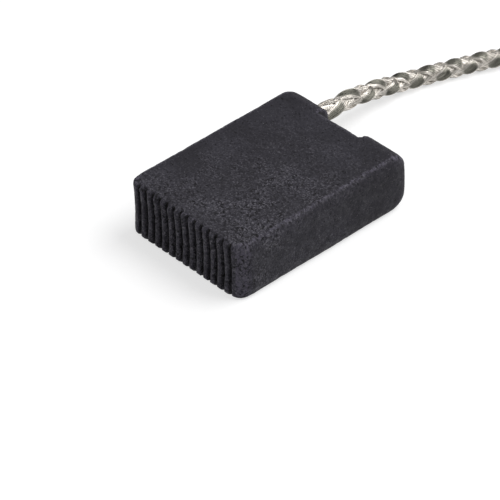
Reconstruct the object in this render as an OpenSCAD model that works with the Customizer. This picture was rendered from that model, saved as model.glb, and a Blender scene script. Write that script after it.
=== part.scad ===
// Carbon brush for a commutator motor: a moulded carbon block, 16 x 6.3 x 22 mm, with a braided
// lead tamped into its rear face and a crimped ring terminal on the lead's far end.
//
// X is across the brush's width, Y along its length with the contact face toward -Y, Z up through
// its thickness. The brush lies on a wide face, and the origin is under the middle of the block.

/* [Carbon block] */
// Width across the commutator's bars
block_w = 16; // [14:0.5:24]
// Thickness along the commutator's rim
block_t = 6.3; // [5:0.1:10]
// Length from the contact face to the rear face
block_l = 22; // [16:0.5:32]
// How far the rounding of the edges reaches in from the two narrow sides
side_round = 0.7; // [0.3:0.1:1.5]
// How far it reaches in from the rear face
rear_round = 1.8; // [0.5:0.1:2.5]
// How far it reaches in from the two wide faces
wide_round = 1.5; // [0.5:0.1:2]
// Rounding of the two wide edges at the contact face
front_edge_r = 0.6; // [0.2:0.1:1.2]
// Rounding of the two short edges at the contact face
front_corner_r = 1.8; // [0.6:0.1:2.4]

/* [Contact face] */
// Radius of the commutator that the contact face is shaped to
commutator_r = 22; // [14:0.5:60]
// Distance from one bedding-in groove to the next
groove_pitch = 0.97; // [0.8:0.01:1.6]
// Least distance from the middle of the first groove to the block's side
groove_margin = 1.4; // [1:0.1:4]
// Width of a groove between its walls
groove_w = 0.38; // [0.2:0.02:0.5]
// Depth of a groove below the contact face
groove_depth = 0.55; // [0.3:0.05:0.8]
// Rounding of the ribs between the grooves
rib_crest_r = 0.27; // [0.05:0.01:0.28]

/* [Spring seat] */
// Width of the seat for the brush spring at its floor
seat_w = 5.8; // [4:0.1:6.4]
// Depth of the seat below the rear face
seat_depth = 1.3; // [0.5:0.1:2]
// How far each side wall of the seat leans out
seat_flare = 0.25; // [0:0.05:0.3]
// Rounding of the seat's two rims
seat_rim_r = 0.8; // [0.3:0.1:1.2]

/* [Lead] */
// Diameter of the braided lead
braid_d = 2; // [1.2:0.1:2.2]
// Diameter of the blind hole for the lead
hole_d = 2.8; // [2.5:0.1:3]
// Depth of the blind hole to the end of its straight wall
hole_depth = 8; // [5:0.5:12]
// How far the tamped powder lies below the rear face
tamp_sink = 0.3; // [0:0.1:1]

/* [Ring terminal] */
// Thickness of the terminal's sheet
sheet_t = 0.8; // [0.5:0.1:1]
// Diameter of the hole for the stud
stud_hole_d = 4.3; // [3.2:0.1:5.3]
// Outer diameter of the ring
ring_d = 8; // [7:0.5:11]
// Length of the barrel that is crimped on the lead
barrel_l = 4.8; // [4:0.2:7]
// Length of the sloped shoulder between the barrel and the tongue
shoulder_l = 1.6; // [1:0.1:2.4]
// Distance from the barrel's mouth to the stud hole's centre
ring_reach = 11.8; // [11:0.2:16]
// Height of the flat that the barrel rests on
barrel_flat = 0.1; // [0.05:0.05:0.2]
// Width of the tongue between the barrel and the ring
tongue_w = 3.2; // [2.4:0.1:4]
// Radius where the tongue's sides run into the ring
tongue_fillet = 1.2; // [0.4:0.1:1.5]
// Depth of the crimp in the barrel's top
crimp_depth = 0.4; // [0.2:0.05:0.45]
// Radius of the crimping tool's nose
crimp_r = 1.3; // [1:0.1:2]

/* [Hidden] */
$fn = 64;
FINE = 360;                      // segments of the commutator-sized arcs
ROUND = 32;                      // segments round the block's edges
EPS = 1;                         // how far a cutter runs past what it cuts
DRILL_POINT = 118;               // included angle of the drill's point

rear_y = block_l / 2;
front_y = -block_l / 2;
lead_z = block_t / 2;            // the lead leaves at mid-thickness
lead_offset = (block_w + seat_w) / 4; // half way between the seat and the block's side
groove_count = floor((block_w - 2 * groove_margin) / groove_pitch) + 1;
// The contact arc meets the front plane where the rounding of the wide edges ends
commutator_y = front_y - sqrt(pow(commutator_r, 2) - pow(block_t / 2 - front_edge_r, 2));
face_sweep = 2 * asin((block_t / 2 + EPS) / commutator_r);

barrel_d = braid_d + 2 * sheet_t;
barrel_z = barrel_d / 2 - barrel_flat;
lie_z = braid_d / 2;             // height of the lead's middle where it lies on the surface

// The lead's centre line from the rear face to the barrel's mouth: how far across and how far
// behind the exit each point lies, and its height above the surface that the brush lies on
ROUTE = [
    [0.0, 0.0, lead_z], [0.0, 1.8, lead_z], [0.0, 3.6, 3.1], [-0.1, 5.4, 2.9],
    [-0.2, 7.2, 2.5], [-0.3, 9.0, lie_z + 1.05], [-0.3, 10.8, lie_z + 0.6],
    [-0.2, 12.4, lie_z + 0.25], [0.1, 14.0, lie_z + 0.05], [0.6, 15.6, lie_z],
    [1.2, 17.2, lie_z], [1.8, 18.8, lie_z], [2.4, 20.4, lie_z], [3.1, 22.0, lie_z],
    [3.8, 23.6, lie_z], [4.6, 25.3, lie_z + 0.05], [5.5, 27.0, lie_z + 0.15],
    [6.5, 28.7, lie_z + 0.35], [7.5, 30.4, lie_z + 0.55], [8.5, 32.1, barrel_z]
];
TERMINAL_TURN = -30;             // the terminal points 30 degrees to the right of the brush
TUBE_SIDES = 8;

exit_at = [-lead_offset, rear_y, 0];
mouth_at = exit_at + ROUTE[len(ROUTE) - 1];
terminal_dir = [-sin(TERMINAL_TURN), cos(TERMINAL_TURN), 0];
hole_bottom = [0, -hole_depth, lead_z];
lead_path = [
    exit_at + hole_bottom,
    for (p = ROUTE) exit_at + p,
    mouth_at + barrel_l * terminal_dir
];

// A rectangle from the origin with its own rounding at each corner, anticlockwise from the origin
module rounded_section(w, h, r) {
    polygon([
        [r[0], 0], [w - r[1], 0], [w, r[1]], [w, h - r[2]],
        [w - r[2], h], [r[3], h], [0, h - r[3]], [0, r[0]]
    ]);
    translate([r[0], r[0]]) circle(r[0]);
    translate([w - r[1], r[1]]) circle(r[1]);
    translate([w - r[2], h - r[2]]) circle(r[2]);
    translate([r[3], h - r[3]]) circle(r[3]);
}

// The block before its front is shaped: its long edges are elliptic, and its rear corners are
// eighths of an ellipsoid
module rounded_body() {
    flat_w = block_w - 2 * side_round;
    flat_t = block_t - 2 * wide_round;
    straight_l = block_l - rear_round;
    hull() {
        for (x = [-flat_w / 2, flat_w / 2], z = [wide_round, block_t - wide_round])
            translate([x, rear_y - rear_round, z])
                rotate([90, 0, 0])
                    scale([side_round, wide_round, 1]) {
                        cylinder(h = straight_l + EPS, r = 1, $fn = ROUND);
                        scale([1, 1, rear_round]) sphere(1, $fn = ROUND);
                    }
        translate([-flat_w / 2, rear_y - rear_round, wide_round])
            cube([flat_w, rear_round, flat_t]);
    }
}

// Seen from the side: a slab of the given length, wider than the block, with rounded front and
// rear edges
module side_prism(length, rear_r) {
    translate([-block_w / 2 - EPS, front_y, 0])
        rotate([90, 0, 90])
            linear_extrude(block_w + 2 * EPS)
                rounded_section(length, block_t, [front_edge_r, rear_r, rear_r, front_edge_r]);
}

// One bedding-in groove, cut inward from the contact face, with the crests beside it rounded off
module groove_section() {
    mouth_w = groove_w + 2 * rib_crest_r;
    translate([-EPS, -groove_w / 2]) square([EPS + groove_depth - groove_w / 2, groove_w]);
    translate([groove_depth - groove_w / 2, 0]) circle(groove_w / 2);
    difference() {
        translate([-EPS, -mouth_w / 2]) square([EPS + rib_crest_r, mouth_w]);
        for (side = [-1, 1])
            translate([rib_crest_r, side * mouth_w / 2]) circle(rib_crest_r);
    }
}

// The contact face turned about the commutator's axis: concave, with rounded ends and grooves
module contact_ring() {
    translate([0, commutator_y, block_t / 2])
        rotate([90, 0, 90])
            rotate([0, 0, -face_sweep / 2])
                rotate_extrude(angle = face_sweep, $fn = FINE)
                    translate([commutator_r, 0])
                        difference() {
                            translate([0, -block_w / 2])
                                rounded_section(block_l + 2 * EPS, block_w,
                                    [front_corner_r, EPS / 2, EPS / 2, front_corner_r], $fn = 64);
                            for (i = [0:groove_count - 1])
                                translate([0, (i - (groove_count - 1) / 2) * groove_pitch])
                                    groove_section($fn = 64);
                        }
}

// What the spring seat takes away: a flared slot through the thickness, down to a rounded floor
module spring_seat() {
    floor_y = rear_y - seat_depth;
    slope = seat_flare / seat_depth;
    front_w = seat_w - 2 * slope * seat_rim_r;
    rear_w = seat_w + 2 * slope * (seat_depth + EPS);
    difference() {
        translate([0, 0, -EPS])
            linear_extrude(block_t + 2 * EPS)
                polygon([
                    [-front_w / 2, floor_y - seat_rim_r], [front_w / 2, floor_y - seat_rim_r],
                    [rear_w / 2, rear_y + EPS], [-rear_w / 2, rear_y + EPS]
                ]);
        side_prism(block_l - seat_depth, seat_rim_r);
    }
}

// The drilled space that the tamped powder fills, from the given depth below the rear face
module lead_hole(sink) {
    point_h = hole_d / 2 / tan(DRILL_POINT / 2);
    translate(exit_at + hole_bottom)
        rotate([-90, 0, 0]) {
            cylinder(h = hole_depth - sink, d = hole_d);
            translate([0, 0, -point_h]) cylinder(h = point_h, d1 = 0, d2 = hole_d);
        }
}

module carbon_block() {
    color([0.17, 0.17, 0.19])
        difference() {
            intersection() {
                rounded_body();
                side_prism(block_l + EPS, EPS / 2);
                contact_ring();
            }
            spring_seat();
            lead_hole(-EPS);
        }
}

module tamped_plug() {
    color([0.45, 0.36, 0.30])
        difference() {
            lead_hole(tamp_sink);
            translate(exit_at + hole_bottom)
                rotate([-90, 0, 0]) cylinder(h = hole_depth + EPS, d = braid_d);
        }
}

function unit(v) = v / norm(v);
function flow(path, i) =
    unit(path[min(i + 1, len(path) - 1)] - path[max(i - 1, 0)]);
function ring_at(path, i, r) =
    let (t = flow(path, i), side = unit(cross(t, [0, 0, 1])), up = cross(side, t))
    [for (k = [0:TUBE_SIDES - 1])
        let (a = (k + 0.5) * 360 / TUBE_SIDES)
        path[i] + r * (cos(a) * side + sin(a) * up)];

// A tube with flat ends swept along the path
module swept_tube(path, r) {
    last = len(path) - 1;
    n = TUBE_SIDES;
    points = [for (i = [0:last]) each ring_at(path, i, r)];
    walls = [for (i = [0:last - 1], k = [0:n - 1])
        [i * n + k, (i + 1) * n + k, (i + 1) * n + (k + 1) % n, i * n + (k + 1) % n]];
    start_cap = [[for (k = [0:n - 1]) k]];
    end_cap = [[for (k = [n - 1:-1:0]) last * n + k]];
    polyhedron(points = points, faces = concat(start_cap, walls, end_cap));
}

module braid() {
    color([0.72, 0.71, 0.68]) swept_tube(lead_path, braid_d / 2);
}

// The slope that takes the barrel's top down to the tongue, drawn along Y and Z
module shoulder_cut() {
    rise = barrel_d - sheet_t;
    translate([-barrel_d, 0, 0])
        rotate([90, 0, 90])
            linear_extrude(2 * barrel_d)
                polygon([
                    [barrel_l, sheet_t + rise], [barrel_l + shoulder_l, sheet_t],
                    [barrel_l + shoulder_l + EPS, sheet_t],
                    [barrel_l + shoulder_l + EPS, sheet_t + rise]
                ]);
}

// The terminal's flat part in plan: the tongue, which runs into the ring over two fillets
module tongue_and_ring() {
    fillet_at = [
        tongue_w / 2 + tongue_fillet,
        ring_reach - sqrt(pow(ring_d / 2 + tongue_fillet, 2) - pow(tongue_w / 2 + tongue_fillet, 2))
    ];
    ring_centre = [0, ring_reach];
    touch = ring_centre + ring_d / (ring_d + 2 * tongue_fillet) * (fillet_at - ring_centre);
    translate([-tongue_w / 2, barrel_l]) square([tongue_w, ring_reach - barrel_l]);
    translate(ring_centre) circle(d = ring_d);
    for (side = [0, 1])
        mirror([side, 0])
            difference() {
                polygon([[0, fillet_at[1]], fillet_at, touch, ring_centre]);
                translate(fillet_at) circle(tongue_fillet);
            }
}

module ring_terminal() {
    color([0.80, 0.80, 0.78])
        translate([mouth_at[0], mouth_at[1], 0])
            rotate([0, 0, TERMINAL_TURN])
                difference() {
                    union() {
                        difference() {
                            translate([0, 0, barrel_z])
                                rotate([-90, 0, 0]) cylinder(h = barrel_l + shoulder_l, d = barrel_d);
                            shoulder_cut();
                        }
                        linear_extrude(sheet_t) tongue_and_ring();
                    }
                    // Bore for the lead
                    translate([0, -EPS, barrel_z])
                        rotate([-90, 0, 0]) cylinder(h = EPS + barrel_l + shoulder_l, d = braid_d);
                    // Hole for the stud
                    translate([0, ring_reach, -EPS]) cylinder(h = sheet_t + 2 * EPS, d = stud_hole_d);
                    // Flat that the barrel and its shoulder rest on
                    translate([-barrel_d, -EPS, -EPS])
                        cube([2 * barrel_d, barrel_l + shoulder_l + 2 * EPS, EPS]);
                    // Crimp across the barrel's top
                    translate([-barrel_d, barrel_l / 2, barrel_d - barrel_flat + crimp_r - crimp_depth])
                        rotate([0, 90, 0]) cylinder(h = 2 * barrel_d, r = crimp_r);
                }
}

carbon_block();
tamped_plug();
braid();
ring_terminal();
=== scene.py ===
import math

import bpy
import numpy as np
from mathutils import Matrix, Vector, noise
from mathutils.kdtree import KDTree


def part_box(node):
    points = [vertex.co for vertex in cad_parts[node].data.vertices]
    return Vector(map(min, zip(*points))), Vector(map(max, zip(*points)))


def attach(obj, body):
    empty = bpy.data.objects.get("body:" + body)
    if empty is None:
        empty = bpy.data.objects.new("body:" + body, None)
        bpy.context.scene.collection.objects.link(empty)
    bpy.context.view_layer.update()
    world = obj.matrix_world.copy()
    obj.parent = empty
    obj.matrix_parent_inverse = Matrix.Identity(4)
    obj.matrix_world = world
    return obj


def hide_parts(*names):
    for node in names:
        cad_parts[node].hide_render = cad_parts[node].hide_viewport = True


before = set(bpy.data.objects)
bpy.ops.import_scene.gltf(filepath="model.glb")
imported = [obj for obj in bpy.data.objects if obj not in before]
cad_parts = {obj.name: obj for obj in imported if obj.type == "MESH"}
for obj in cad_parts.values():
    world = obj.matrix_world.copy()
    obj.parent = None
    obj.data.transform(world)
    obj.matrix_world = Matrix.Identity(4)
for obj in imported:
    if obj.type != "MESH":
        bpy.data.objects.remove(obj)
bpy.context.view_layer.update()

# ---------------------------------------------------------------------------
# Camera. A long lens, a little over a third of a metre off, that looks down on
# the wide face from before the contact face and to its right.
# ---------------------------------------------------------------------------
MM = 0.001                       # metres
AIM = Vector((2.44, -4.69, 0.0)) * MM
CAMERA_DISTANCE = 342.56 * MM
LENS = 260                       # mm, on a sensor 36 mm wide
AZIMUTH = math.radians(47.88)
ELEVATION = math.radians(38.36)
ROLL = math.radians(-1.35)

away = Vector((
    math.sin(AZIMUTH) * math.cos(ELEVATION),
    -math.cos(AZIMUTH) * math.cos(ELEVATION),
    math.sin(ELEVATION),
))
camera = bpy.data.objects.new("camera", bpy.data.cameras.new("camera"))
camera.data.lens = LENS
camera.data.sensor_width = 36
camera.data.clip_start = 0.01
camera.data.clip_end = 20
facing = (-away).to_track_quat("-Z", "Y").to_matrix() @ Matrix.Rotation(ROLL, 3, "Z")
camera.matrix_world = Matrix.Translation(AIM + away * CAMERA_DISTANCE) @ facing.to_4x4()
bpy.context.scene.collection.objects.link(camera)
bpy.context.scene.camera = camera


# ---------------------------------------------------------------------------
# Lead. Four strands of fine tinned copper wire, two wound each way and plaited
# one over one. Its near end is tamped into the block, its far end is crimped in
# the terminal, and between them it comes down and lies where it falls.
# ---------------------------------------------------------------------------
BRAID_D = 2.0
EXIT = Vector((-5.45, 11.0, 0.0))
LEAD_Z = 3.15                    # height that it leaves the block at
LIE_Z = BRAID_D / 2
BARREL_Z = 1.7                   # height that it enters the terminal at
ROUTE = [                        # across, behind the exit, and above the surface
    (0.0, 0.0, LEAD_Z), (0.0, 1.8, LEAD_Z), (0.0, 3.6, 3.1), (-0.1, 5.4, 2.9),
    (-0.2, 7.2, 2.5), (-0.3, 9.0, LIE_Z + 1.05), (-0.3, 10.8, LIE_Z + 0.6),
    (-0.2, 12.4, LIE_Z + 0.25), (0.1, 14.0, LIE_Z + 0.05), (0.6, 15.6, LIE_Z),
    (1.2, 17.2, LIE_Z), (1.8, 18.8, LIE_Z), (2.4, 20.4, LIE_Z), (3.1, 22.0, LIE_Z),
    (3.8, 23.6, LIE_Z), (4.6, 25.3, LIE_Z + 0.05), (5.5, 27.0, LIE_Z + 0.15),
    (6.5, 28.7, LIE_Z + 0.35), (7.5, 30.4, LIE_Z + 0.55), (8.5, 32.1, BARREL_Z),
]
TERMINAL_WAY = Vector((math.sin(math.radians(30)), math.cos(math.radians(30)), 0.0))
BARREL_L = 4.8

LAY = 5.2                        # mm along the lead for one turn of a strand
LAY_START = 1.0                  # where on the lead the first turn starts
PULLED = 8.2                     # mm that the plait is drawn out by, over its first stretch
PULLED_OVER = 10.0
STRANDS = 2                      # wound each way
STRAND_W = 1.34
STRAND_H = 0.64                  # a strand is squeezed flat
STRAND_R = 0.48                  # from the lead's centre line to a strand's
WEAVE = 0.19                     # how far a strand rises over those it crosses
STRAIGHTENED = 0.45              # share of its turn that a strand loses where it lies on top
WIRES = 30                       # seen round a strand
WIRE_D = 0.09
WIRE_DRIFT = 0.09                # radians that a wire wanders round its strand
WIRE_LIFT = 0.05                 # share of its height that it rises and falls by
WIRE_SIDES = 4
CORE_SIDES = 12
RING_EVERY = 0.25

BRIGHT_TIN = (0.97, 0.92, 0.86)
CLOUDED_TIN = (0.74, 0.70, 0.65)
# Painted dark reflection: the colours of the wires that lie on top of the plait
DARK_REFLECTION_TIN = (0.135, 0.133, 0.115)
PALER_DARK_REFLECTION_TIN = (0.25, 0.245, 0.215)
SHADE_AND_DULL_TIN = (0.25, 0.24, 0.20)

route = [EXIT + Vector(p) for p in ROUTE]
lead_points = [route[0] - Vector((0, 1.0, 0)), *route, route[-1] + TERMINAL_WAY * BARREL_L]


def add_piece(name, mesh):
    piece = bpy.data.objects.new(name, mesh)
    bpy.context.scene.collection.objects.link(piece)
    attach(piece, "root")
    return piece


def smooth_line(points, step):
    """Points evenly spaced on a Catmull-Rom curve through the given ones, with their distances."""
    padded = [2 * points[0] - points[1], *points, 2 * points[-1] - points[-2]]
    dense = []
    for p0, p1, p2, p3 in zip(padded, padded[1:], padded[2:], padded[3:]):
        for t in np.linspace(0, 1, 24, endpoint=False):
            dense.append(0.5 * (
                2 * p1 + (p2 - p0) * t + (2 * p0 - 5 * p1 + 4 * p2 - p3) * t ** 2
                + (3 * p1 - p0 - 3 * p2 + p3) * t ** 3))
    dense = np.array([*dense, points[-1]])
    along = np.concatenate([[0], np.cumsum(np.linalg.norm(np.diff(dense, axis=0), axis=1))])
    at = np.linspace(0, along[-1], round(along[-1] / step) + 1)
    return at, np.stack([np.interp(at, along, dense[:, k]) for k in range(3)], axis=1)


def frames_along(line):
    """Unit vectors at each point of a line: the way on, level to the side, and up from both."""
    ahead = np.gradient(line, axis=0)
    ahead /= np.linalg.norm(ahead, axis=1)[:, None]
    side = np.cross(ahead, [0, 0, 1])
    side /= np.linalg.norm(side, axis=1)[:, None]
    return ahead, side, np.cross(side, ahead)


def column(values):
    return np.asarray(values)[..., None]


def swept(line, side, up, wide, tall, sides):
    """An elliptic tube along a line, with flat ends: its points and its faces."""
    angles = np.arange(sides) * 2 * math.pi / sides
    ring = (side[:, None] * column(wide * np.cos(angles))
            + up[:, None] * column(tall * np.sin(angles)))
    points = (line[:, None] + ring).reshape(-1, 3)
    i = np.arange(len(line) - 1)[:, None] * sides
    k = np.arange(sides)[None]
    after = (k + 1) % sides
    walls = np.stack([i + k, i + sides + k, i + sides + after, i + after], axis=-1)
    last = (len(line) - 1) * sides
    caps = [list(range(sides)), list(range(last + sides - 1, last - 1, -1))]
    return points, walls.reshape(-1, 4).tolist() + caps


along, centre = smooth_line(lead_points, RING_EVERY)
_, level, upward = frames_along(centre)


def strand_line(way, number):
    """The middle of one strand, the axes of its section, and how far over the others it lies."""
    drawn_out = PULLED * (1 - np.exp(-along / PULLED_OVER))
    turned = 2 * math.pi * (along - drawn_out - LAY_START) / LAY
    weave = way * np.cos(STRANDS * turned)
    turned -= way * STRAIGHTENED / STRANDS * np.sin(STRANDS * turned)
    angle = way * turned + 2 * math.pi * number / STRANDS
    outward = level * column(np.cos(angle)) + upward * column(np.sin(angle))
    line = centre + outward * column(STRAND_R + WEAVE * weave)
    onward = np.gradient(line, axis=0)
    onward /= np.linalg.norm(onward, axis=1)[:, None]
    across = np.cross(onward, outward)
    across /= np.linalg.norm(across, axis=1)[:, None]
    return line, across, np.cross(across, onward), weave


points, faces, crown, shade_and_tone = [], [], [], []


def add_tube(made, on_top, darkening):
    """Adds a tube to the lead, with how far on top each ring lies and how far the tube is darkened:
    painted shade for the core between the wires, a random tone for each wire.
    """
    tube_points, tube_faces = made
    start = len(points)
    points.extend(tube_points)
    faces.extend([[start + i for i in face] for face in tube_faces])
    crown.extend(np.repeat(on_top, len(tube_points) // len(on_top)))
    shade_and_tone.extend([darkening] * len(tube_points))


slack = np.random.default_rng(7)


def wave(shortest, longest):
    """A sine along the lead, its length and its start drawn at random."""
    return np.sin(2 * math.pi * along / slack.uniform(shortest, longest) + slack.uniform(0, 6.3))


core_w, core_h = STRAND_W / 2 - WIRE_D / 2, STRAND_H / 2 - WIRE_D / 2
for way in (-1, 1):
    for number in range(STRANDS):
        line, across, outward, weave = strand_line(way, number)
        topmost = np.clip(0.55 + 0.9 * weave, 0, 1)  # 1 over a third of the way, 0 where it dips under
        # The core shows in the gaps between the wires; darkening it fully is painted shade between
        # them
        add_tube(swept(line, across, outward, core_w, core_h, CORE_SIDES), topmost, 1.0)
        for wire in range(WIRES):
            turn = 2 * math.pi * (wire + 0.5) / WIRES
            wandered = turn + WIRE_DRIFT * wave(4, 8)
            lift = 1 + WIRE_LIFT * wave(2, 4)
            wire_line = (line + across * column(core_w * lift * np.cos(wandered))
                         + outward * column(core_h * lift * np.sin(wandered)))
            _, wire_side, wire_up = frames_along(wire_line)
            made = swept(wire_line, wire_side, wire_up, WIRE_D / 2, WIRE_D / 2, WIRE_SIDES)
            # Each wire is darkened by a random tone
            add_tube(made, topmost * max(0.0, math.sin(turn)) ** 0.7, slack.uniform(0, 1))

lead_mesh = bpy.data.meshes.new("plaited_lead")
lead_mesh.from_pydata((np.array(points) * MM).tolist(), [], faces)
lead_mesh.update()
lead_mesh.shade_smooth()
for name, values in (("crown", crown), ("shade_and_tone", shade_and_tone)):
    layer = lead_mesh.attributes.new(name, "FLOAT", "POINT")
    layer.data.foreach_set("value", np.array(values, np.float32))
lead = add_piece("plaited_lead", lead_mesh)
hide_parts("braid")


def new_material(name):
    material = bpy.data.materials.new(name)
    material.use_nodes = True
    return material, material.node_tree, material.node_tree.nodes["Principled BSDF"]


def add_node(tree, kind, values=None, **settings):
    node = tree.nodes.new(kind)
    for name, value in settings.items():
        setattr(node, name, value)
    for name, value in (values or {}).items():
        node.inputs[name].default_value = value
    return node


def grain_group():
    """Shader node group: a mask of grains of the given size in millimetres, from Low to High."""
    tree = bpy.data.node_groups.new("grain", "ShaderNodeTree")
    for name, value in (("Size", 1.0), ("Detail", 2.0), ("Low", 0.35), ("High", 0.65)):
        socket = tree.interface.new_socket(name, in_out="INPUT", socket_type="NodeSocketFloat")
        socket.default_value = value
    tree.interface.new_socket("Mask", in_out="OUTPUT", socket_type="NodeSocketFloat")
    given = add_node(tree, "NodeGroupInput")
    place = add_node(tree, "ShaderNodeTexCoord")
    scale = add_node(tree, "ShaderNodeMath", {0: 1 / MM}, operation="DIVIDE")
    cells = add_node(tree, "ShaderNodeTexNoise", {"Roughness": 0.6})
    mask = add_node(tree, "ShaderNodeMapRange", interpolation_type="SMOOTHSTEP")
    result = add_node(tree, "NodeGroupOutput")
    tree.links.new(given.outputs["Size"], scale.inputs[1])
    tree.links.new(place.outputs["Object"], cells.inputs["Vector"])
    tree.links.new(scale.outputs["Value"], cells.inputs["Scale"])
    tree.links.new(given.outputs["Detail"], cells.inputs["Detail"])
    tree.links.new(cells.outputs["Fac"], mask.inputs["Value"])
    tree.links.new(given.outputs["Low"], mask.inputs["From Min"])
    tree.links.new(given.outputs["High"], mask.inputs["From Max"])
    tree.links.new(mask.outputs["Result"], result.inputs["Mask"])
    return tree


GRAIN = grain_group()


def grain_mask(tree, size, low=0.35, high=0.65, detail=2.0):
    node = add_node(tree, "ShaderNodeGroup", node_tree=GRAIN)
    for name, value in (("Size", size), ("Low", low), ("High", high), ("Detail", detail)):
        node.inputs[name].default_value = value
    return node.outputs["Mask"]


def attribute(tree, name):
    return add_node(tree, "ShaderNodeAttribute", attribute_name=name).outputs["Fac"]


def remap(tree, value, low, high, out_low=0.0, out_high=1.0):
    node = add_node(tree, "ShaderNodeMapRange", {
        "From Min": low, "From Max": high, "To Min": out_low, "To Max": out_high,
    }, interpolation_type="SMOOTHSTEP")
    tree.links.new(value, node.inputs["Value"])
    return node.outputs["Result"]


def combined(tree, operation, a, b):
    node = add_node(tree, "ShaderNodeMath", operation=operation)
    for socket, value in zip(node.inputs, (a, b)):
        if isinstance(value, (int, float)):
            socket.default_value = value
        else:
            tree.links.new(value, socket)
    return node.outputs["Value"]


def blended(tree, mask, below, above):
    """The colour below where the mask is 0, and the colour above where it is 1."""
    node = add_node(tree, "ShaderNodeMix", data_type="RGBA")
    tree.links.new(mask, node.inputs["Factor"])
    for socket, value in ((node.inputs[6], below), (node.inputs[7], above)):
        if isinstance(value, tuple):
            socket.default_value = (*value, 1.0)
        else:
            tree.links.new(value, socket)
    return node.outputs[2]


def bumped(tree, surface, height, depth, strength=1.0):
    bump = add_node(tree, "ShaderNodeBump", {"Strength": strength, "Distance": depth * MM})
    tree.links.new(height, bump.inputs["Height"])
    tree.links.new(bump.outputs["Normal"], surface.inputs["Normal"])


# The tin is bright low in the plait, and painted dark on the wires that lie on top of it, a painted
# dark reflection of the dim room
tinned, tree, surface = new_material("tinned_wire")
dull = grain_mask(tree, 1.2, 0.38, 0.62, 3.0)
bright = blended(tree, dull, BRIGHT_TIN, CLOUDED_TIN)
painted_dark_reflection = blended(tree, dull, DARK_REFLECTION_TIN, PALER_DARK_REFLECTION_TIN)
colour = blended(tree, remap(tree, attribute(tree, "crown"), 0.50, 0.92), bright, painted_dark_reflection)
# Darker towards dull tin: painted shade on the core between the wires, a random tone on each wire
shaded = remap(tree, attribute(tree, "shade_and_tone"), 0, 1, 0.0, 0.50)
colour = blended(tree, shaded, colour, SHADE_AND_DULL_TIN)
tree.links.new(colour, surface.inputs["Base Color"])
tree.links.new(remap(tree, dull, 0, 1, 0.30, 0.48), surface.inputs["Roughness"])
surface.inputs["Metallic"].default_value = 1.0
lead_mesh.materials.append(tinned)


# ---------------------------------------------------------------------------
# Ring terminal. Tinned copper sheet, stamped out, its barrel rolled and crimped
# on the lead's end; a screw through the ring holds it to the brush holder.
# ---------------------------------------------------------------------------
NEW_TIN = (0.80, 0.79, 0.75)
HANDLED_TIN = (0.66, 0.65, 0.61)

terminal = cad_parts["ring_terminal"]
tin_plate, tree, surface = new_material("tin_plate")
dull = grain_mask(tree, 2.0, 0.30, 0.70, 4.0)
tree.links.new(blended(tree, dull, NEW_TIN, HANDLED_TIN), surface.inputs["Base Color"])
tree.links.new(remap(tree, dull, 0, 1, 0.34, 0.52), surface.inputs["Roughness"])
surface.inputs["Metallic"].default_value = 1.0
bumped(tree, surface, grain_mask(tree, 0.35, detail=3.0), 0.012, 0.6)
terminal.data.materials.clear()
terminal.data.materials.append(tin_plate)


# ---------------------------------------------------------------------------
# Carbon block. Graphite and carbon powder, pressed to shape in a die and fired.
# The contact face is ground to the commutator's curve and grooved to bed in
# fast, and handling has rubbed the long edges pale; the pale edges are also
# a painted highlight, standing for the sheen that the rounded edges catch.
# ---------------------------------------------------------------------------
VOXEL = 0.085                    # mm, the spacing that the pressed skin is sampled at
BLOCK_TRIANGLES = 190_000
GRAIN_SEED = Vector((3.1, 7.7, 1.9))
RIBS_END = 6.9                   # mm from the middle to just past the last groove
EDGE_STANDS = 0.10               # mm that a sharp edge stands out of its surroundings
SWELL = 0.030                    # mm that the faces swell and sink by, over a few millimetres
ROUGHNESS = 0.012                # mm, the same from grain to grain
NIBBLED = 0.24                   # how deep the edges are nibbled
RIPPLE = 0.012                   # mm that the ribs waver by
PITTED = 0.22                    # how deep the contact face is pitted
SLACK = 0.02                     # mm that the skin may stand out of the drawn block

CARBON = (0.0230, 0.0218, 0.0270)
PALER_CARBON = (0.0290, 0.0278, 0.0350)
WISP = (0.0420, 0.0400, 0.0500)
DUST = (0.0900, 0.0860, 0.1020)
FIBRE = (0.1750, 0.1680, 0.1900)
RUBBED_AND_SHEEN = (0.104, 0.094, 0.128)
PORE = (0.0060, 0.0058, 0.0064)
DARK_DOT = (0.0030, 0.0029, 0.0030)
FLECK = (0.24, 0.235, 0.25)
HOLLOW_SHADE = (0.0042, 0.0041, 0.0030)

block_low, block_high = [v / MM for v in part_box("carbon_block")]


def mesh_after(mesh, kind, **settings):
    """A new mesh: what the modifier of that kind makes of the one given."""
    holder = bpy.data.objects.new("holder", mesh)
    bpy.context.scene.collection.objects.link(holder)
    modifier = holder.modifiers.new(kind.lower(), kind)
    for name, value in settings.items():
        setattr(modifier, name, value)
    graph = bpy.context.evaluated_depsgraph_get()
    made = bpy.data.meshes.new_from_object(holder.evaluated_get(graph))
    bpy.data.objects.remove(holder)
    return made


def vectors_of(mesh, what):
    flat = np.empty(len(mesh.vertices) * 3, np.float32)
    mesh.vertices.foreach_get(what, flat)
    return flat.reshape(-1, 3).astype(float)


def relaxed(mesh, values, rounds):
    """The values, each averaged with its neighbours that many times."""
    pairs = np.empty(len(mesh.edges) * 2, np.int32)
    mesh.edges.foreach_get("vertices", pairs)
    a, b = pairs.reshape(-1, 2).T
    count = len(mesh.vertices)
    degree = np.bincount(a, minlength=count) + np.bincount(b, minlength=count)
    for _ in range(rounds):
        total = np.stack([
            np.bincount(a, v[b], count) + np.bincount(b, v[a], count) for v in values.T
        ], axis=1)
        values = 0.5 * values + 0.5 * total / degree[:, None]
    return values


def rough(points, wavelength, octaves=1):
    """Noise about zero, from -1 to 1, that changes over that many millimetres."""
    return np.array([
        noise.fractal(Vector(p) / wavelength + GRAIN_SEED, 1.0, 2.0, octaves) for p in points
    ])


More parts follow.
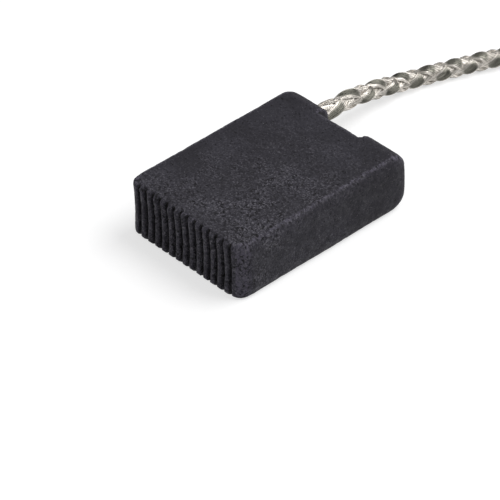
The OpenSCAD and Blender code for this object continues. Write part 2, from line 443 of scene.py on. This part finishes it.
def ramp(values, none, full):
    """0 where the value is the first one given, 1 where it is the second, and even between."""
    return np.clip((values - none) / (full - none), 0, 1)


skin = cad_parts["carbon_block"].data.copy()
skin.transform(Matrix.Scale(1 / MM, 4))
skin = mesh_after(skin, "REMESH", mode="VOXEL", voxel_size=VOXEL, use_smooth_shade=True)
place = vectors_of(skin, "co")
outward = vectors_of(skin, "normal")

# How far a point stands out of its surroundings: above zero on edges and ribs, below in hollows
soft = relaxed(skin, place, 30)
stand = ((place - soft) * outward).sum(1)
edge = ramp(stand, 0, EDGE_STANDS)

# Handling rounds the corners off
low_corner, high_corner = np.array(block_low), np.array(block_high)
from_sides = np.minimum(place - low_corner, high_corner - place)
corner = ramp(np.linalg.norm(from_sides, axis=1), 2.08, 0.48)
place += (relaxed(skin, soft, 70) - place) * column(corner)

contact = ramp(place[:, 1] - block_low[1], 1.6, 0.8)
ribs = contact * ramp(np.abs(place[:, 0]), RIBS_END, RIBS_END - 0.3)
below_top = ramp(block_high[2] - place[:, 2], 0.5, 1.0)

push = (SWELL * rough(place, 3.2, 2) + ROUGHNESS * rough(place, 0.5, 2)) * (1 - 0.5 * ribs)
nibble = np.clip(rough(place + 11.0, 0.7, 2) - 0.06, 0, None)
push -= edge * NIBBLED * nibble * (1 - 0.85 * ribs * below_top)
push += contact * RIPPLE * rough(place * [1.0, 1.0, 0.5] + 23.0, 0.8, 2)
push -= contact * PITTED * np.clip(rough(place + 5.0, 0.32) - 0.25, 0, 0.3)
place += outward * column(push)
place = np.clip(place, low_corner - SLACK, high_corner + SLACK)
place[:, 2] = np.maximum(place[:, 2], 0.0)

skin.vertices.foreach_set("co", place.astype(np.float32).ravel())
skin.update()
triangles = sum(len(f.vertices) - 2 for f in skin.polygons)

# The ribs get less rubbed pallor and painted highlight than the edges do, and the smooth strips beside
# them as much
beside = contact * ramp(np.abs(place[:, 0]), RIBS_END, RIBS_END + 0.3)
fine_place, fine_stand = place, stand * (1 - 0.7 * ribs) + 0.05 * beside
skin = mesh_after(skin, "DECIMATE", ratio=BLOCK_TRIANGLES / triangles)

nearest = KDTree(len(fine_place))
for i, p in enumerate(fine_place):
    nearest.insert(p, i)
nearest.balance()
picked = [nearest.find(v.co)[1] for v in skin.vertices]
stands_out = skin.attributes.new("stands_out", "FLOAT", "POINT")
stands_out.data.foreach_set("value", fine_stand[picked].astype(np.float32))

# Dust clings thickest toward the commutator and the side that handling has rubbed, and
# on that narrow side itself only toward the commutator
where = (vectors_of(skin, "co") - low_corner) / (high_corner - low_corner)
sideways, back = where[:, 0], where[:, 1]
near = np.clip(1.35 - 1.3 * back, 0, 1)
near *= np.clip(0.02 + 1.5 * sideways + np.clip(0.5 - 2.0 * back, 0, 0.5), 0, 1)
near[sideways > 0.98] *= np.clip(1.1 - 2.2 * back, 0.45, 1)[sideways > 0.98]
dusting = skin.attributes.new("dusty", "FLOAT", "POINT")
dusting.data.foreach_set("value", (0.06 + 0.94 * near).astype(np.float32))

skin.transform(Matrix.Scale(MM, 4))
skin.shade_smooth()
carbon_block = add_piece("pressed_carbon", skin)
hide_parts("carbon_block")

# Masks, from patches and clouds some millimetres across down to single grains
carbon, tree, surface = new_material("fired_carbon")
patches = grain_mask(tree, 5.0, 0.38, 0.62, 2.0)
clouds = grain_mask(tree, 2.6, 0.42, 0.58, 4.0)
wisps = grain_mask(tree, 0.70, 0.45, 0.58, 5.0)
dust = grain_mask(tree, 0.30, 0.47, 0.57, 3.0)
fibres = grain_mask(tree, 0.21, 0.53, 0.62, 2.0)
pores = grain_mask(tree, 0.36, 0.545, 0.61, 4.0)
dots = grain_mask(tree, 0.24, 0.66, 0.71, 1.0)
flecks = grain_mask(tree, 0.14, 0.71, 0.77, 1.0)

stand_out = attribute(tree, "stands_out")
# Edges rubbed pale, and painted highlight for the sheen that the rounded edges catch
worn_and_sheen = remap(tree, stand_out, 0.004, 0.04)
# Painted shade in the grooves and hollows, darker where the skin lies below its surroundings
painted_hollow_shade = remap(tree, stand_out, -0.002, -0.016)
dusty = combined(tree, "MULTIPLY", attribute(tree, "dusty"), remap(tree, clouds, 0, 1, 0.45, 1.0))
dusty = combined(tree, "MAXIMUM", dusty, worn_and_sheen)

colour = blended(tree, patches, CARBON, PALER_CARBON)
for cover, share, finish in (
    (wisps, dusty, WISP),
    (dust, combined(tree, "MULTIPLY", dusty, 0.55), DUST),
    (fibres, combined(tree, "MULTIPLY", dusty, 0.65), FIBRE),
    (worn_and_sheen, remap(tree, dust, 0, 1, 0.22, 0.62), RUBBED_AND_SHEEN),
    (pores, remap(tree, dusty, 0, 1, 0.15, 0.90), PORE),
    (dots, 0.85, DARK_DOT),
    (flecks, 0.6, FLECK),
    (painted_hollow_shade, 0.85, HOLLOW_SHADE),
):
    colour = blended(tree, combined(tree, "MULTIPLY", cover, share), colour, finish)
tree.links.new(colour, surface.inputs["Base Color"])
tree.links.new(remap(tree, wisps, 0, 1, 0.72, 0.58), surface.inputs["Roughness"])
surface.inputs["Specular IOR Level"].default_value = 0.16
height = combined(tree, "ADD", dust, combined(tree, "MULTIPLY", fibres, 0.5))
height = combined(tree, "SUBTRACT", height, combined(tree, "MULTIPLY", pores, 1.2))
height = combined(tree, "MULTIPLY", height, remap(tree, dusty, 0, 1, 0.10, 1.0))
height = combined(tree, "SUBTRACT", height, dots)
bumped(tree, surface, height, 0.04, 0.7)
skin.materials.clear()
skin.materials.append(carbon)


# ---------------------------------------------------------------------------
# Tamped plug. Copper powder, rammed into the drilled hole round the lead's end.
# It holds the lead and carries its current into the carbon.
# ---------------------------------------------------------------------------
BETWEEN_GRAINS = (0.040, 0.026, 0.020)
COPPER_GRAIN = (0.26, 0.15, 0.10)

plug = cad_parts["tamped_plug"]
powder, tree, surface = new_material("tamped_powder")
grit = grain_mask(tree, 0.14, 0.35, 0.70)
colour = blended(tree, grit, BETWEEN_GRAINS, COPPER_GRAIN)
tree.links.new(colour, surface.inputs["Base Color"])
tree.links.new(remap(tree, grit, 0, 1, 0.75, 0.5), surface.inputs["Roughness"])
surface.inputs["Metallic"].default_value = 0.6
bumped(tree, surface, grit, 0.08, 0.8)
plug.data.materials.clear()
plug.data.materials.append(powder)


# ---------------------------------------------------------------------------
# Floor and light. A wide round of pale paper, a big soft lamp high behind the
# brush and to its right, and a weaker one before the contact face.
# ---------------------------------------------------------------------------
FLOOR_R = 1.5                    # metres
RIM_POINTS = 96
PAPER = (0.5, 0.5, 0.5, 1.0)
PAPER_GLOW = 0.6                 # added where the eye and reflections see the paper
ROOM = (0.24, 0.24, 0.245, 1.0)

floor_mesh = bpy.data.meshes.new("floor")
rim = [(FLOOR_R * math.cos(a), FLOOR_R * math.sin(a), 0.0)
       for a in np.linspace(0, 2 * math.pi, RIM_POINTS, endpoint=False)]
floor_mesh.from_pydata(rim, [], [list(range(len(rim)))])
floor = bpy.data.objects.new("floor", floor_mesh)
bpy.context.scene.collection.objects.link(floor)

paper = bpy.data.materials.new("paper")
paper.use_nodes = True
tree = paper.node_tree
tree.nodes.remove(tree.nodes["Principled BSDF"])
matt = add_node(tree, "ShaderNodeBsdfDiffuse", {"Color": PAPER})
glow = add_node(tree, "ShaderNodeEmission", {"Color": (1.0, 1.0, 1.0, 1.0)})
ray = add_node(tree, "ShaderNodeLightPath")
seen = combined(tree, "MAXIMUM", ray.outputs["Is Camera Ray"], ray.outputs["Is Glossy Ray"])
seen = combined(tree, "MAXIMUM", seen, ray.outputs["Is Transmission Ray"])
tree.links.new(combined(tree, "MULTIPLY", seen, PAPER_GLOW), glow.inputs["Strength"])
both = add_node(tree, "ShaderNodeAddShader")
tree.links.new(matt.outputs["BSDF"], both.inputs[0])
tree.links.new(glow.outputs["Emission"], both.inputs[1])
tree.links.new(both.outputs["Shader"], tree.nodes["Material Output"].inputs["Surface"])
floor_mesh.materials.append(paper)

world = bpy.data.worlds.new("studio")
world.use_nodes = True
world.node_tree.nodes["Background"].inputs["Color"].default_value = ROOM
bpy.context.scene.world = world


def soft_lamp(name, direction, distance, size, energy):
    lamp = bpy.data.objects.new(name, bpy.data.lights.new(name, "AREA"))
    lamp.data.shape = "DISK"
    lamp.data.size = size
    lamp.data.energy = energy
    towards = Vector(direction).normalized()
    lamp.location = towards * distance
    lamp.rotation_mode = "QUATERNION"
    lamp.rotation_quaternion = towards.to_track_quat("Z", "Y")
    bpy.context.scene.collection.objects.link(lamp)


soft_lamp("key", (0.30, 0.53, 0.79), distance=1.0, size=0.9, energy=9.3)
soft_lamp("front", (-0.10, -0.80, 0.60), distance=1.2, size=0.9, energy=3.6)

bpy.context.scene.view_settings.view_transform = "Standard"
